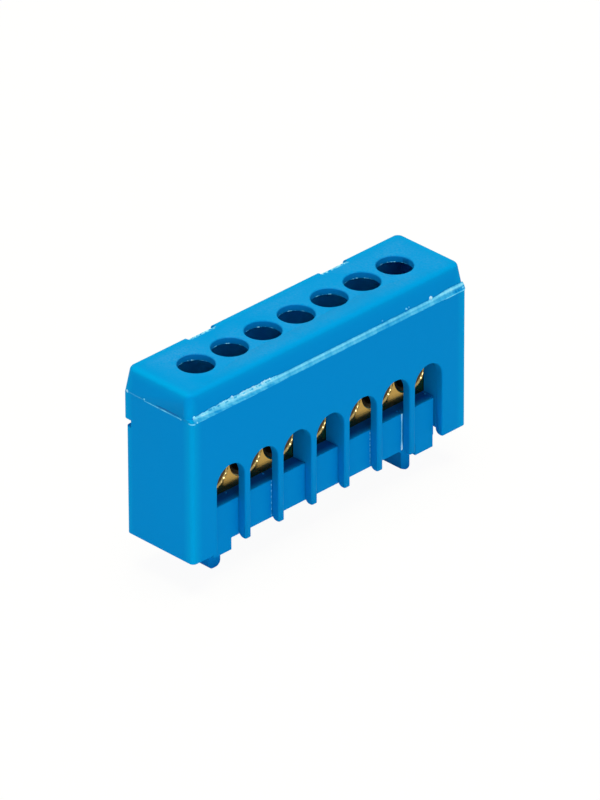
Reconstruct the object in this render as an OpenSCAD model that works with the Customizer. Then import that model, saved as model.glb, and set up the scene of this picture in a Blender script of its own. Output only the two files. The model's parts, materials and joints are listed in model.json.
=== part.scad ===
// Neutral terminal block: a brass busbar with clamping screws, enclosed in a moulded
// insulating casing with a welded lid, on a base that snaps across a 35 mm mounting rail.
// Millimetres. The origin is the centre of the rail seat: X runs along the busbar,
// the wires enter from -Y, and the screws are turned from +Z.

/* [Positions] */
// Number of clamping positions
positions = 7; // [7:1:11]
// Distance between neighbouring positions
pitch = 6.5; // [6.3:0.1:8]
// Distance from the last position to the casing's end face
end_margin = 7.5; // [6.8:0.1:10]

/* [Casing] */
// Depth of the casing, front to back over the lip
casing_w = 13.6; // [13:0.1:16]
// Height of the casing above the rail seat, over the lid
casing_h = 26.5; // [25.8:0.1:30]
// Thickness of the front wall
front_t = 1.3; // [0.9:0.05:1.6]
// Thickness of the back wall
back_t = 1.7; // [1.4:0.05:2]
// Thickness of the end walls
end_t = 1.5; // [1:0.05:2]
// Height of the end webs' lower edge
web_lift = 1.3; // [0.9:0.05:1.6]
// Radius of the front wall's inner lower edge, which leads the base in
toe_r = 0.8; // [0.3:0.05:0.85]
// How much shorter the casing is at the latch's end
latch_end_lift = 0.4; // [0.2:0.05:0.5]
// Radius of the upright corners
corner_r = 0.7; // [0.5:0.1:1.4]

/* [Lid] */
// Height of the seam between the casing and the lid
seam_h = 22.3; // [21.5:0.1:23]
// Thickness of the top plate
top_t = 1; // [0.8:0.05:1.5]
// Depth of the sloped ledge along the front of the seam
ledge_d = 0.45; // [0.2:0.05:0.6]
// Height of that ledge
ledge_h = 0.6; // [0.3:0.05:0.9]
// How far the sides lean in above the seam
draft = 0.4; // [0.2:0.05:0.5]
// Height of the upright foot on the seam, below the leaning sides
lid_foot_h = 0.1; // [0.05:0.05:0.3]
// Radius of the lid's corners at the top, which widens from the casing's own
lid_corner_r = 1.2; // [0.9:0.05:1.6]
// Radius of the rounded top edge
lid_edge_r = 0.75; // [0.5:0.05:1]
// Depth of the spigot that sits inside the casing
spigot_h = 1.3; // [0.8:0.1:2]
// Thickness of that spigot
spigot_t = 0.6; // [0.4:0.05:0.8]

/* [Front slots and screw holes] */
// Width of a wire slot, with a half-round arch of the same width on top
slot_w = 5.4; // [5.2:0.05:5.6]
// Diameter of a screwdriver hole
access_d = 5.4; // [5.2:0.05:5.6]
// Width of the bevel round a screwdriver hole
access_bevel = 0.12; // [0.05:0.01:0.2]

/* [Back] */
// How far the lip stands out from the lower back wall
lip_proud = 0.4; // [0.2:0.05:0.6]
// Height of the lip below the seam
lip_h = 4; // [3:0.1:5]
// Height of the pry groove below the lip
groove_h = 1.2; // [0.5:0.05:1.5]
// Depth of the pry groove
groove_d = 1.1; // [0.4:0.05:1.2]
// Width of a label channel in the lid's back
channel_w = 5.3; // [4:0.1:6]
// Depth of a label channel
channel_d = 1.3; // [0.9:0.05:1.5]
// Place of a label channel, in positions from the last one
channel_step = 1; // [0:1:2]

/* [Busbar] */
// Depth of the bar, along the wires
bar_w = 6; // [5.5:0.1:6.5]
// Height of the bar
bar_h = 9; // [8.5:0.1:10]
// Diameter of a wire hole
wire_d = 5; // [4.4:0.1:5]
// Height of the wire holes' axis above the base's deck
wire_rise = 4.15; // [4:0.05:4.6]
// Width of the countersink round a wire hole
sink_w = 0.68; // [0.2:0.02:0.7]
// Depth of that countersink
sink_h = 0.5; // [0.3:0.05:0.8]

/* [Screws] */
// Diameter of a clamping screw's shank
screw_d = 4; // [3.5:0.1:4.2]
// Length of the shank
screw_l = 7.2; // [6:0.1:7.8]
// Diameter of the head
head_d = 5; // [4.6:0.1:5.1]
// Height of the head
head_h = 2.4; // [1.8:0.1:2.6]
// Width of the driver slot in the head
drive_w = 1; // [0.6:0.1:1.2]
// Depth of the driver slot
drive_d = 1.2; // [0.8:0.1:1.4]
// Bevel on the screw's point and on the head's rim
screw_bevel = 0.4; // [0.2:0.05:0.5]

/* [Base] */
// Height of the deck that carries the bar
sill_h = 6.25; // [6:0.05:6.6]
// Thickness of the deck
deck_t = 1.4; // [1:0.1:2]
// Thickness of the base's skirts and ribs
skirt_t = 1.1; // [0.8:0.05:1.4]
// Height of the skirts' lower edge above the rail seat
skirt_lift = 0.25; // [0.1:0.05:0.5]
// Distance of the outer ribs under the deck from the middle
deck_rib_x = 13; // [8:0.5:14.5]
// Width of the slit beside each springy foot
slit_w = 0.35; // [0.2:0.05:0.5]
// Distance of that slit from the foot
slit_off = 2.5; // [1.5:0.1:3]
// Drop of the feet below the rail seat
foot_drop = 1.65; // [1:0.05:2]
// Length of a foot
foot_l = 3.5; // [2:0.05:3.6]

/* [Rail clip] */
// Width of the mounting rail
rail_w = 35; // [35:0.1:35.5]
// Thickness of the rail's edges
rail_t = 1; // [0.9:0.05:1.5]
// Gap between the rail's edge and a foot
foot_gap = 0.7; // [0.5:0.05:1]
// Width of the claw and the latch along the rail
leg_w = 5.7; // [4:0.1:6]
// Drop of the claw and the latch below the rail seat
leg_drop = 5.3; // [4.6:0.1:6]
// Thickness of the fixed claw
claw_t = 2.3; // [2:0.05:2.4]
// Radius of the claw's lower edges
claw_r = 0.9; // [0.5:0.05:1]
// Thickness of the springy latch
latch_t = 1.75; // [1.5:0.05:2]
// Radius of the latch's outer lower edge
latch_r = 0.5; // [0.3:0.05:0.6]
// Width of the latch's flat lower end
latch_flat = 0.3; // [0.2:0.05:0.5]
// Rise of the latch's lead-in slope
latch_rise = 0.5; // [0.3:0.05:0.8]
// Reach of a hook under the rail
hook_reach = 0.9; // [0.6:0.05:1.1]
// Height of a hook's upright nose
hook_h = 0.3; // [0.2:0.05:0.6]

/* [Catches] */
// Reach of a catch on the base's end into the casing
catch_reach = 0.3; // [0.2:0.05:0.4]
// Height of a catch
catch_h = 1.2; // [0.8:0.1:1.6]
// Width of a catch
catch_w = 4; // [3:0.1:5]
// Height of a catch's lower edge above the end web's
catch_rise = 0.7; // [0.4:0.05:1.2]

/* [Clearances] */
// Play between the casing and the base or the lid's spigot
fit_gap = 0.1; // [0.05:0.01:0.15]
// Play between the base's ends and the casing's end webs
end_gap = 0.4; // [0.3:0.05:0.5]
// Play between the bar and the webs that hold it
bar_gap = 0.12; // [0.05:0.01:0.2]
// Radial play of a screw in its threaded hole
thread_gap = 0.05; // [0.02:0.01:0.08]
// Gap between a raised screw's point and the wire hole
point_gap = 0.2; // [0.1:0.05:0.4]
// Play between the rail's edge and the claw or the latch
rail_gap = 0.4; // [0.2:0.05:0.5]
// Play between the rail's underside and a hook
hook_gap = 0.1; // [0.05:0.01:0.2]

/* [Hidden] */

$fn = 48;
// Segments of the hulled corners
hull_fn = 32;
// Overshoot of a cut past the face that it opens, and of a web or spigot into its wall
over = 0.5;
casing_blue = "#0084cb";
brass = "#c8a04a";
zinc = "#c9ccc8";

// Distance of the last position from the middle
last_x = (positions - 1) / 2 * pitch;
casing_l = 2 * (last_x + end_margin);
front_y = -casing_w / 2;
lip_y = casing_w / 2;
back_y = lip_y - lip_proud;
lip_z = seam_h - lip_h;
lid_h = casing_h - seam_h;
lid_front_y = front_y + ledge_d;
channel_x = last_x - channel_step * pitch;
// Rib between two slots, the outer slot's edge, and the two ribs beside the middle that carry webs
rib_w = pitch - slot_w;
slot_edge_x = last_x + slot_w / 2;
web_x = (positions % 2 == 0 ? 1 : 1 / 2) * pitch;

// Inside of the casing
in_x = casing_l / 2 - end_t;
in_front_y = front_y + front_t;
in_back_y = back_y - back_t;

// Spigot of the lid, and the lid's inside
spigot_x = in_x - fit_gap;
spigot_front_y = in_front_y + fit_gap;
spigot_back_y = in_back_y - fit_gap;
spigot_z = seam_h - spigot_h;
in_lid_x = spigot_x - spigot_t;
in_lid_front_y = spigot_front_y + spigot_t;
in_lid_back_y = spigot_back_y - spigot_t;
in_top = casing_h - top_t;

// Busbar and wire axis
bar_l = 2 * (in_x - fit_gap);
bar_top = sill_h + bar_h;
wire_z = sill_h + wire_rise;
thread_d = screw_d + 2 * thread_gap;

// Screws, raised clear of the wires
point_z = wire_z + wire_d / 2 + point_gap;

// Base
base_x = slot_edge_x - end_gap;
base_front_y = in_front_y + fit_gap;
base_back_y = in_back_y - fit_gap;
foot_in_x = rail_w / 2 + foot_gap;
slit_x = foot_in_x - slit_off;
catch_z = web_lift + catch_rise;
leg_x = rail_w / 2 + rail_gap;
hook_z = -(rail_t + hook_gap);

function position_x(i) = (i - (positions + 1) / 2) * pitch;

// Rectangle from corner to corner, as a flat outline
module span(x0, x1, y0, y1) {
    translate([x0, y0])
        square([x1 - x0, y1 - y0]);
}

// Block from corner to corner
module block(x0, x1, y0, y1, z0, z1) {
    translate([x0, y0, z0])
        cube([x1 - x0, y1 - y0, z1 - z0]);
}

// Rectangle with rounded corners
module rounded_span(x0, x1, y0, y1, r) {
    span(x0 + r, x1 - r, y0, y1);
    span(x0, x1, y0 + r, y1 - r);
    for (x = [x0 + r, x1 - r], y = [y0 + r, y1 - r])
        translate([x, y])
            circle(r);
}

// Outline in X and Z, carried from y0 to y1
module along_y(y0, y1) {
    translate([0, y1, 0])
        rotate([90, 0, 0])
            linear_extrude(y1 - y0)
                children();
}

// Outline in Y and Z, carried from x0 to x1
module along_x(x0, x1) {
    translate([x0, 0, 0])
        rotate([90, 0, 90])
            linear_extrude(x1 - x0)
                children();
}

// Section of the lid's rounded top edge, outward from a corner's axis
module lid_edge() {
    intersection() {
        translate([lid_corner_r - lid_edge_r, lid_h - lid_edge_r])
            circle(lid_edge_r);
        span(0, lid_corner_r, lid_h - 2 * lid_edge_r, lid_h);
    }
}

// Outside of the lid: the hull of a low foot on the seam and of the four corners of its
// rounded top edge, between which the sides lean in
module lid_outside() {
    x = casing_l / 2;
    lean = atan(draft / (lid_h - lid_foot_h));
    // Distance of a corner's axis from the foot's sides
    axis_in = (lid_h - lid_foot_h - lid_edge_r) * tan(lean) + lid_edge_r / cos(lean)
        + lid_corner_r - lid_edge_r;
    translate([0, 0, seam_h])
        hull() {
            linear_extrude(lid_foot_h)
                rounded_span(-x, x, lid_front_y, lip_y, corner_r, $fn = hull_fn);
            for (cx = [axis_in - x, x - axis_in], cy = [lid_front_y + axis_in, lip_y - axis_in])
                translate([cx, cy, 0])
                    rotate_extrude($fn = hull_fn)
                        lid_edge($fn = hull_fn);
        }
}

// Sloped ledge that widens the lid's front to the casing's
module ledge() {
    x = casing_l / 2;
    intersection() {
        along_x(-x, x)
            polygon([
                [front_y, seam_h], [lid_front_y, seam_h - over], [in_lid_front_y, seam_h - over],
                [in_lid_front_y, seam_h + ledge_h], [lid_front_y, seam_h + ledge_h]
            ]);
        translate([0, 0, seam_h])
            linear_extrude(ledge_h)
                rounded_span(-x, x, front_y, lip_y, corner_r);
    }
}

// Walls of the casing, open at the top and the bottom, with a lip along the back's upper edge
module casing_walls() {
    x = casing_l / 2;
    difference() {
        union() {
            linear_extrude(seam_h)
                rounded_span(-x, x, front_y, back_y, corner_r);
            translate([0, 0, lip_z])
                linear_extrude(lip_h)
                    rounded_span(-x, x, front_y, lip_y, corner_r);
        }
        block(-in_x, in_x, in_front_y, in_back_y, -over, seam_h + over);
    }
}

// Cross webs under the lid's spigot: two beside the middle that stop on the deck,
// and two end webs that reach further down and flank the base
module casing_webs() {
    top = spigot_z - fit_gap;
    for (side = [0, 1])
        mirror([side, 0, 0]) {
            block(web_x - rib_w / 2, web_x + rib_w / 2,
                in_front_y - over, in_back_y + over, sill_h + fit_gap, top);
            block(slot_edge_x, slot_edge_x + rib_w,
                in_front_y - over, in_back_y + over, web_lift, top);
        }
}

// One wire slot, open at the lower edge and arched on the wire's axis
module wire_slot() {
    along_y(front_y - over, in_front_y) {
        span(-slot_w / 2, slot_w / 2, -over, wire_z);
        translate([0, wire_z])
            circle(d = slot_w);
    }
}

// One screwdriver hole through the top plate
module access_hole() {
    translate([0, 0, in_top - over])
        cylinder(d = access_d, h = top_t + 2 * over);
    translate([0, 0, casing_h - access_bevel])
        cylinder(d1 = access_d, d2 = access_d + 4 * access_bevel, h = 2 * access_bevel);
}

// Rounding of the front wall's inner edge from x0 to x1, above its lower edge at z
module toe_cut(x0, x1, z) {
    along_x(x0, x1)
        difference() {
            span(in_front_y - toe_r, in_front_y + over, z - over, z + toe_r);
            translate([in_front_y - toe_r, z + toe_r])
                circle(toe_r);
        }
}

// Pry groove along the back, under the lip
module pry_groove() {
    x = casing_l / 2 + over;
    block(-x, x, back_y - groove_d, lip_y + over, lip_z - groove_h, lip_z);
}

// Label channel in the lid's back
module label_channel() {
    block(-channel_w / 2, channel_w / 2, lip_y - channel_d, lip_y + over,
        seam_h - over, casing_h + over);
}

module lid() {
    color(casing_blue)
        difference() {
            union() {
                lid_outside();
                ledge();
                block(-spigot_x, spigot_x, spigot_front_y, spigot_back_y, spigot_z, seam_h + over);
            }
            block(-in_lid_x, in_lid_x, in_lid_front_y, in_lid_back_y, spigot_z - over, in_top);
            for (i = [1 : positions])
                translate([position_x(i), 0, 0])
                    access_hole();
            for (side = [-1, 1])
                translate([side * channel_x, 0, 0])
                    label_channel();
        }
}

module casing() {
    color(casing_blue)
        difference() {
            union() {
                casing_walls();
                casing_webs();
            }
            for (i = [1 : positions])
                translate([position_x(i), 0, 0])
                    wire_slot();
            pry_groove();
            toe_cut(-in_x, slot_edge_x, 0);
            toe_cut(slot_edge_x, in_x, latch_end_lift);
            block(slot_edge_x, casing_l / 2 + over, front_y - over, lip_y + over, -over, latch_end_lift);
            // Notches that let the bar pass under the webs
            block(-in_x, in_x, -bar_w / 2 - bar_gap, bar_w / 2 + bar_gap,
                -over, bar_top + bar_gap);
            // Pockets for the base's catches
            for (side = [0, 1])
                mirror([side, 0, 0])
                    block(slot_edge_x - over, slot_edge_x + catch_reach + fit_gap,
                        -catch_w / 2 - fit_gap, catch_w / 2 + fit_gap,
                        catch_z - fit_gap, catch_z + catch_h + fit_gap);
        }
}

// Outline of a skirt: a plain wall with a foot near each end
module skirt_outline() {
    span(-base_x, base_x, skirt_lift, sill_h);
    for (side = [0, 1])
        mirror([side, 0])
            span(foot_in_x, foot_in_x + foot_l, -foot_drop, skirt_lift + over);
}

// Upright of a clip, from the deck down to z, with a hook that passes under the rail's edge
module hooked_upright(t, z) {
    lead_z = hook_z - hook_h - hook_reach;
    polygon([
        [leg_x, sill_h - deck_t / 2],
        [leg_x, hook_z],
        [leg_x - hook_reach, hook_z],
        [leg_x - hook_reach, hook_z - hook_h],
        [leg_x, lead_z],
        [leg_x, z],
        [leg_x + t, z],
        [leg_x + t, sill_h - deck_t / 2]
    ]);
}

// Fixed claw on the left: a stout upright with a rounded lower end
module claw() {
    centre_z = -leg_drop + claw_r;
    mirror([1, 0, 0])
        along_y(-leg_w / 2, leg_w / 2) {
            hooked_upright(claw_t, centre_z);
            span(leg_x + claw_r, leg_x + claw_t - claw_r, -leg_drop, centre_z);
            for (x = [leg_x + claw_r, leg_x + claw_t - claw_r])
                translate([x, centre_z])
                    circle(claw_r);
        }
}

// Springy latch on the right: a thinner upright that slopes in below, to ride over the rail
module latch() {
    out_x = leg_x + latch_t;
    slope_z = -leg_drop + latch_rise;
    along_y(-leg_w / 2, leg_w / 2) {
        hooked_upright(latch_t, slope_z);
        polygon([
            [leg_x, slope_z],
            [out_x - latch_r - latch_flat, -leg_drop],
            [out_x - latch_r, -leg_drop],
            [out_x - latch_r, slope_z]
        ]);
        translate([out_x - latch_r, -leg_drop + latch_r])
            circle(latch_r);
    }
}

// Catch on the base's end: a wedge, sloped above and square below
module base_catch() {
    along_y(-catch_w / 2, catch_w / 2)
        polygon([
            [base_x - skirt_t / 2, catch_z],
            [base_x + end_gap + catch_reach, catch_z],
            [base_x, catch_z + catch_h],
            [base_x - skirt_t / 2, catch_z + catch_h]
        ]);
}

module base() {
    color(casing_blue)
        difference() {
            union() {
                block(-base_x, base_x, base_front_y, base_back_y, sill_h - deck_t, sill_h);
                along_y(base_front_y, base_front_y + skirt_t)
                    skirt_outline();
                along_y(base_back_y - skirt_t, base_back_y)
                    skirt_outline();
                // Ribs under the deck, which stand on the rail
                for (x = [-deck_rib_x, 0, deck_rib_x])
                    block(x - skirt_t / 2, x + skirt_t / 2,
                        base_front_y + skirt_t / 2, base_back_y - skirt_t / 2, 0, sill_h - deck_t / 2);
                for (side = [0, 1])
                    mirror([side, 0, 0]) {
                        block(base_x - skirt_t, base_x, base_front_y, base_back_y, skirt_lift, sill_h);
                        base_catch();
                    }
                claw();
                latch();
            }
            // Slits that free the feet's part of the front skirt
            for (side = [0, 1])
                mirror([side, 0, 0])
                    block(slit_x - slit_w, slit_x, base_front_y - over, base_front_y + skirt_t,
                        skirt_lift - over, sill_h + over);
        }
}

// Busbar with a wire hole and a threaded screw hole at each position
module brass_bar() {
    color(brass)
        difference() {
            block(-bar_l / 2, bar_l / 2, -bar_w / 2, bar_w / 2, sill_h, bar_top);
            for (i = [1 : positions])
                translate([position_x(i), 0, 0]) {
                    translate([0, 0, wire_z]) {
                        rotate([90, 0, 0])
                            cylinder(d = wire_d, h = bar_w + 2 * over, center = true);
                        for (turn = [90, -90])
                            rotate([turn, 0, 0])
                                translate([0, 0, bar_w / 2 - sink_h])
                                    cylinder(d1 = wire_d, d2 = wire_d + 2 * sink_w, h = sink_h);
                        cylinder(d = thread_d, h = bar_top - wire_z + over);
                    }
                }
        }
}

// Clamping screw, raised so that its point is clear of the wire hole
module clamp_screw(i) {
    color(zinc)
        translate([position_x(i), 0, point_z])
            difference() {
                rotate_extrude()
                    polygon([
                        [0, 0],
                        [screw_d / 2 - screw_bevel, 0],
                        [screw_d / 2, screw_bevel],
                        [screw_d / 2, screw_l],
                        [head_d / 2, screw_l],
                        [head_d / 2, screw_l + head_h - screw_bevel],
                        [head_d / 2 - screw_bevel, screw_l + head_h],
                        [0, screw_l + head_h]
                    ]);
                block(-head_d, head_d, -drive_w / 2, drive_w / 2,
                    screw_l + head_h - drive_d, screw_l + head_h + over);
            }
}

casing();
lid();
base();
brass_bar();
for (i = [1 : positions])
    clamp_screw(i);
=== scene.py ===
"""Neutral terminal block on a rail clip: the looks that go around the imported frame.

The mouldings and the brass bar are merged copies of their solids, softened along the edges that show.
The screws, the countersinks, the flash along the seams, the burrs and the crumbs are numpy surfaces.
"""

import json
import math

import bmesh
import bpy
import numpy as np
from bpy.props import FloatProperty, FloatVectorProperty, PointerProperty
from mathutils import Matrix, Vector

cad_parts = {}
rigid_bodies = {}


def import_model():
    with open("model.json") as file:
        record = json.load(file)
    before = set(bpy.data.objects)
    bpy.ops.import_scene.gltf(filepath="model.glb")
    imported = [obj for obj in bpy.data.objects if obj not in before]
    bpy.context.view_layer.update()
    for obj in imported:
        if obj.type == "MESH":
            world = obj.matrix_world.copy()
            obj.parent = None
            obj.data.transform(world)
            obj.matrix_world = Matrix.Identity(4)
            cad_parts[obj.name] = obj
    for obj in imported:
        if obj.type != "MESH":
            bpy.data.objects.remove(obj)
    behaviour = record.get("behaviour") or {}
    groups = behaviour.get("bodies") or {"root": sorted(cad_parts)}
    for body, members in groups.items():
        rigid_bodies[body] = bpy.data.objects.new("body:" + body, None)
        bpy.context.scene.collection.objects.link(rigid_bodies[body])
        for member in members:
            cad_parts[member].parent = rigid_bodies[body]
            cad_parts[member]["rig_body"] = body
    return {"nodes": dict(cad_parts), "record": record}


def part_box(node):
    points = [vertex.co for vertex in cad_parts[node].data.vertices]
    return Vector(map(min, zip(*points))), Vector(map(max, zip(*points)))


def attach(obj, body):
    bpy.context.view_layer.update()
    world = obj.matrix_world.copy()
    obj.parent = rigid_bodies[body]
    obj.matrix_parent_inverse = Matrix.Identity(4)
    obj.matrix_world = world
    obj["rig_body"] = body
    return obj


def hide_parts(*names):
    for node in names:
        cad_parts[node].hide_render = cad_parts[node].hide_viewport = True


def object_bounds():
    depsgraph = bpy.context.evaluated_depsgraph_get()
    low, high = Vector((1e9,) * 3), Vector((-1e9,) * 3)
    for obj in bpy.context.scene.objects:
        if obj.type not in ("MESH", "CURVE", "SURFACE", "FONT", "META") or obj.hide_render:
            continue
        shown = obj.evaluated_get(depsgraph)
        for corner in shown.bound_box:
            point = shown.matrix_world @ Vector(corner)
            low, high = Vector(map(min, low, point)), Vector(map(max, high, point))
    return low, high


bl_info = {
    "name": "Neutral terminal block",
    "version": (1, 0, 0),
    "blender": (4, 5, 0),
    "location": "View3D > Sidebar > Terminal block",
    "description": "Builds the moulded casing, brass bar, clamping screws and stage of a terminal block",
    "category": "Object",
}

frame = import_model()
CAD_BOX = [list(corner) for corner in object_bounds()]
MM = 0.001
UP = np.array([0.0, 0.0, 1.0])
# Longer side of the photograph in pixels, and of the camera's sensor in millimetres
IMAGE_SIDE = 800
SENSOR = 36.0
# Faces that meet at more than this angle keep a sharp edge between them
SHARP = math.radians(35)
POLYAMIDE_IOR = 1.53

CASING_LOW, CASING_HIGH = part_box("casing")
LID_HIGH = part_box("lid")[1]
BASE_LOW, BASE_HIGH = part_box("base")
BAR_LOW, BAR_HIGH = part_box("brass_bar")
SCREWS = sorted(name for name in frame["nodes"] if name.startswith("clamp_screw_"))
SCREW_X = [(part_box(name)[0].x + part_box(name)[1].x) / 2 for name in SCREWS]
SEAM_Z = CASING_HIGH.z
FRONT_Y = CASING_LOW.y
BACK_Y = CASING_HIGH.y
END_X = CASING_HIGH.x
DECK_Z = BAR_LOW.z
MOUNTS = {mount["name"]: mount for mount in frame["record"]["mounts"]}
HOLE_R = MOUNTS["driver_access_1"]["dims"]["r_mm"] * MM
WIRE_R = MOUNTS["wire_entry_1"]["dims"]["r_mm"] * MM
WIRE_Z = MOUNTS["wire_entry_1"]["pos_m"][2]

# Label channels in the lid's back: they are centred on the second and the sixth hole
CHANNEL_X = SCREW_X[5]
CHANNEL_WIDTH = 5.3 * MM
CHANNEL_FLOOR = BACK_Y - 1.3 * MM

# Points round a strand of flash, and round and along a crumb
STRAND_SIDES = 8
CRUMB_ROUND, CRUMB_RISE = 14, 9
# Columns along the bead, rows across its seen side, and where the rows that root it lie across it
BEAD_COLUMNS, BEAD_ROWS = 1400, 25
BEAD_ROOT = (0.75, 0.5, 0.25)
# Points along the line round the ends, the tear in it, a hole's burr, the slit's film and a rib's flash
LINE_POINTS, TEAR_POINTS, RIM_POINTS, FILM_POINTS, RIB_POINTS = 240, 60, 181, 60, 90
# Sections of a screw's head, and rows and sides of its shank
HEAD_SECTIONS = 41
SHANK_ROWS, SHANK_SIDES = 100, 40
# Rows across the bright ring of a countersink, those seen and those that root it, and points along a wave
RING_SEEN = (0, 0.15, 0.3, 0.5, 0.7, 0.85, 1)
RING_ROOT = (0.7, 0.3)
WAVE_POINTS = 12

# The front's flash along X, in millimetres: scaly until it turns plain, thin about a place by a width,
# and in two lines that part from a place on
SCALY_TO_PLAIN = (-12.5, -8.5)
THIN_ABOUT = (12.0, 2.5)
PARTED_FROM = 20.0

# Crumbs on the front's flash: place along X and up the front from the seam, radius, all in millimetres,
# and whitening. The biggest sit at the left corner and as a white nib near the right end.
FRONT_CRUMBS = (
    (-26.1, 0.95, 0.26, 0.7), (-25.9, 0.12, 0.2, 0.8), (-18.8, 1.25, 0.2, 0.85), (-13.0, 1.05, 0.22, 0.9),
    (-11.5, 1.12, 0.17, 0.95), (10.7, 1.42, 0.13, 0.35), (15.45, 1.4, 0.16, 0.5), (15.95, 1.46, 0.11, 0.45),
    (20.25, 1.22, 0.28, 1.0), (26.5, 0.45, 0.2, 0.5),
)
# Crumbs of swarf on the deck behind the slots: place along X and Y, radius and whitening
DECK_CRUMBS = ((-17.3, -3.46, 0.12, 0.15), (-10.0, -3.41, 0.12, 0.12), (21.7, -3.84, 0.12, 0.2))
# Flat crumbs on the left end's line: place along Y and up from the seam, radius and whitening
END_CRUMBS = ((6.0, 0.42, 0.22, 0.85), (2.6, 0.45, 0.15, 0.5), (-4.6, 0.14, 0.15, 0.5))

# Softboxes: name, the setting that holds the power, place and side in metres, and colour
SOFTBOXES = (
    ("overhead_softbox", "overhead", (0.0, 0.0, 0.7), 0.5, "#fffacf"),
    ("front_softbox", "front", (-0.19, -0.65, 0.15), 0.14, "#ebebff"),
    ("left_softbox", "left", (-0.68, 0.04, 0.2), 0.3, "#ebebff"),
)
# Half the side of the white card under the block, in metres
HALF_CARD = 3.0


def linear(hex_colour):
    """Linear RGBA of an sRGB hex colour such as #0084cb."""
    srgb = np.array([int(hex_colour[i:i + 2], 16) for i in (1, 3, 5)]) / 255
    rgb = np.where(srgb <= 0.04045, srgb / 12.92, ((srgb + 0.055) / 1.055) ** 2.4)
    return (*rgb.tolist(), 1.0)


def length(name, description, millimetres):
    """A property that holds a length, with its default given in millimetres."""
    return FloatProperty(name=name, description=description, default=millimetres * MM,
                         subtype="DISTANCE", unit="LENGTH", precision=6)


def colour(name, description, hex_colour):
    """A property that holds a colour, with its default given as an sRGB hex value."""
    return FloatVectorProperty(name=name, description=description, default=linear(hex_colour),
                               size=4, min=0.0, max=1.0, subtype="COLOR")


def number(name, description, value):
    """A property that holds a plain number, such as a roughness or a light's strength."""
    return FloatProperty(name=name, description=description, default=value, min=0.0)


def angle(name, description, degrees):
    """A property that holds an angle, with its default given in degrees."""
    return FloatProperty(name=name, description=description, default=math.radians(degrees),
                         subtype="ANGLE", unit="ROTATION")


class MouldingSettings(bpy.types.PropertyGroup):
    """Sizes and finish of the blue mouldings."""
    edge_round: length("Edge rounding", "Width of the rounding on the edges of the wire slots", 0.22)
    sill_round: length("Sill rounding", "Width of the rounding on the base's upper front edge", 0.12)
    plastic: colour("Plastic", "Body colour of the blue moulding", "#0086d6")
    # Painted highlight: the rounded outer edges are painted this lighter blue, standing in for the light
    # they catch and let through
    glow: colour("Edge glow", "Colour of the edges, where light comes through", "#0099e0")
    roughness: number("Roughness", "Roughness of the satin moulded face", 0.45)
    shine: number("Shine", "Strength of the plastic's reflection", 0.006)
    # Painted sheen: the size of the patches in which the lid's top is whitened
    drift: length("Drift", "Size of the patches in which dust settled", 7.0)
    mottle: length("Mottle", "Size of the mottling left by the mould's texture", 0.3)
    # Painted sheen: the share of white mixed into the lid's top, standing in for its reflection of the
    # white surroundings
    dust: number("Dust", "Share of pale dust on the lid's top", 0.006)
    # Painted shade: the deck behind the slots is painted this darker blue, standing in for the shade there
    film: colour("Film", "Colour of the deck under its film of cutting oil", "#0059ae")
    fringe: colour("Fringe", "Colour of the ragged edges of the label channels", "#8fdcff")


class FlashSettings(bpy.types.PropertyGroup):
    """Sizes and finish of the flash that the moulds left."""
    ledge_depth: length("Ledge depth", "Depth of the lid's sloped front ledge", 0.45)
    ledge_height: length("Ledge height", "Height of the lid's sloped front ledge", 0.6)
    lid_lean: length("Lid lean", "How far the lid's sides lean in over its height", 0.4)
    reach: length("Reach", "How far the front's flash reaches up from the seam", 1.15)
    bead: length("Bead", "Thickness of the front's flash where it is thickest", 0.1)
    sink: length("Sink", "How deep the flash is rooted in the moulding", 0.08)
    line_rise: length("Line rise", "Height of the line of flash round the ends above the seam", 0.22)
    line: length("Line", "Half the width of that line", 0.085)
    strip_end: length("Strip end", "Length of the ledge's straight return on the ends", 1.3)
    corner_round: length("Corner rounding", "Radius of the block's upright corners at the seam", 0.7)
    burr: length("Burr", "Half the width of the burr in a screwdriver hole", 0.07)
    slot_width: length("Slot width", "Width of a wire slot", 5.4)
    slit_x: length("Slit place", "Place of the slit beside the springy foot along X", 15.52)
    slit_width: length("Slit width", "Width of that slit", 0.35)
    dark: colour("Dark flash", "Colour of the shade in a tear", "#0066ac")
    pale: colour("Pale flash", "Colour of thin stretched flash", "#38a8e6")
    bright: colour("Bright flash", "Colour of flash drawn out until it whitens", "#6ecfff")
    torn: colour("Torn flash", "Colour of torn flash", "#b8e4ff")
    roughness: number("Roughness", "Roughness of the flash", 0.35)
    shine: number("Shine", "Strength of the flash's reflection", 0.05)


class BarSettings(bpy.types.PropertyGroup):
    """Sizes and finish of the brass bar."""
    edge_round: length("Edge rounding", "Width of the softened edges of the bar", 0.08)
    sink_width: length("Countersink width", "Width of the countersink round a wire hole", 0.68)
    sink_depth: length("Countersink depth", "Depth of that countersink", 0.5)
    bright_share: number("Bright share", "Share of the countersink that is cut bright", 0.42)
    chatter: length("Chatter", "Height of the waves that the countersink's chatter left", 0.04)
    chatter_waves: number("Chatter waves", "Number of those waves round one countersink", 20)
    brass: colour("Brass", "Colour of the drawn brass", "#b9964e")
    roughness: number("Roughness", "Roughness of the drawn brass", 0.22)
    draw_line: length("Draw line", "Spacing of the lines left by drawing the bar", 0.12)
    # Painted shade: the walls of the wire holes are painted this darkened brass
    bore: colour("Bore", "Colour of the drilled bores", "#4a3f2a")
    bore_roughness: number("Bore roughness", "Roughness of the drilled bores", 0.55)
    # Painted shade: the countersinks are painted a darker brass, for the dim slot they reflect
    cut: colour("Cut brass", "Colour of the countersinks", "#a08c58")
    cut_roughness: number("Cut roughness", "Roughness of the countersinks", 0.14)


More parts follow.
